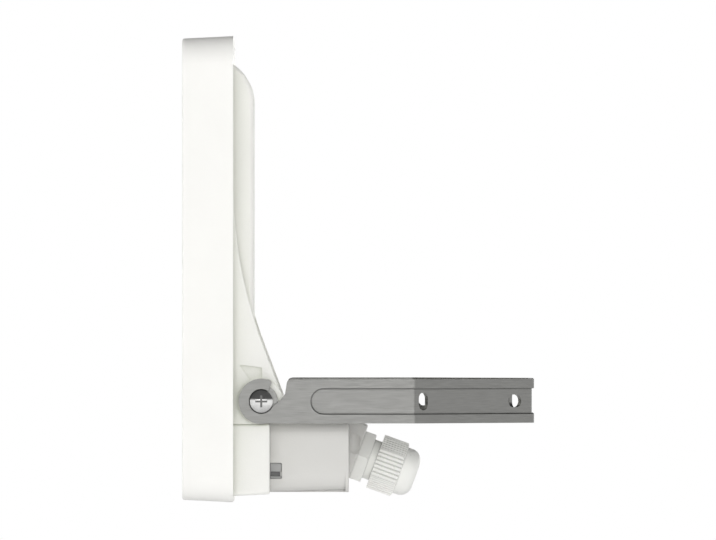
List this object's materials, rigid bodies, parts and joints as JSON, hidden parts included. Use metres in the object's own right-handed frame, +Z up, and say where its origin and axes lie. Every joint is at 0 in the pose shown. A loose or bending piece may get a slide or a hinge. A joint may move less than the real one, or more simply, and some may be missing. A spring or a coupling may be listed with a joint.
{
  "type": "outdoor wall light",
  "caption": "Square LED floodlight with a domed rear casting, a connection box with a slanted cable gland and a hook-in strip bracket it tilts on.",
  "frame": {"origin": "centre of the bracket base on the wall plane, at the height of the tilt axis", "axes": "+X along the tilt axis to the right as the light is looked at from the wall side, +Y into the wall, +Z up; the light shines towards -Y"},
  "size_m": [0.224, 0.1694, 0.2239],
  "materials": {
    "frame_white": "powder coated satin",
    "casting_white": "powder coated satin",
    "box_grey": "powder coated satin",
    "clear_glass": "polished",
    "seal_rubber": "matt",
    "seal_silicone": "matt",
    "lead_white": "satin silicone sleeve",
    "lens_clear": "clear gloss",
    "reflector_white": "gloss",
    "board_white": "matt",
    "board_green": "satin",
    "led_yellow": "satin",
    "steel_bright": "bright",
    "bracket_steel": "brushed",
    "gland_grey": "satin",
    "terminal_grey": "satin",
    "ferrite_dark": "matt",
    "capacitor_black": "satin sleeve",
    "terminal_brass": "plain"
  },
  "bodies": {
    "bracket": {"bracket": "bracket_steel"},
    "lamp_head": {"front_frame": "frame_white", "front_glass": "clear_glass", "glass_gasket": "seal_silicone", "lens_plate": "lens_clear", "reflector_frame": "reflector_white", "led_board": "board_white", "led_packages": "led_yellow", "board_screws": "steel_bright", "led_leads": "lead_white", "rear_housing": "casting_white", "frame_screws": "steel_bright", "terminal_box": "box_grey", "box_screws": "steel_bright", "cover_gasket": "seal_rubber", "terminal_cover": "box_grey", "cover_screws": "steel_bright", "driver_board": "board_green", "driver_screws": "steel_bright", "transformer": "ferrite_dark", "capacitors": "capacitor_black", "terminal_block": "terminal_grey", "terminal_screws": "terminal_brass", "gland_body": "gland_grey", "gland_o_ring": "seal_rubber", "gland_locknut": "gland_grey", "pivot_screw_left": "steel_bright", "pivot_screw_right": "steel_bright", "pivot_washer_left": "steel_bright", "pivot_washer_right": "steel_bright"},
    "gland_seal": {"gland_seal": "seal_rubber"},
    "gland_nut": {"gland_nut": "gland_grey"}
  },
  "joints": [
    {"name": "head_tilt", "type": "hinge", "parent": "bracket", "child": "lamp_head", "pos_m": [0, -0.1314, 0], "axis": [1, 0, 0], "range_deg": [-85, 90]},
    {"name": "gland_travel", "type": "slide", "parent": "lamp_head", "child": "gland_seal", "axis": [0, 0.9397, -0.342], "range_m": [-0.00225, 0.0015]},
    {"name": "gland_turn", "type": "hinge", "parent": "gland_seal", "child": "gland_nut", "pos_m": [0, -0.07016, -0.03177], "axis": [0, 0.9397, -0.342], "range_deg": [-541, 361]}
  ],
  "couplings": [
    {"joint": "gland_turn", "follows": "gland_travel", "rad_per_m": 4188.8}
  ]
}
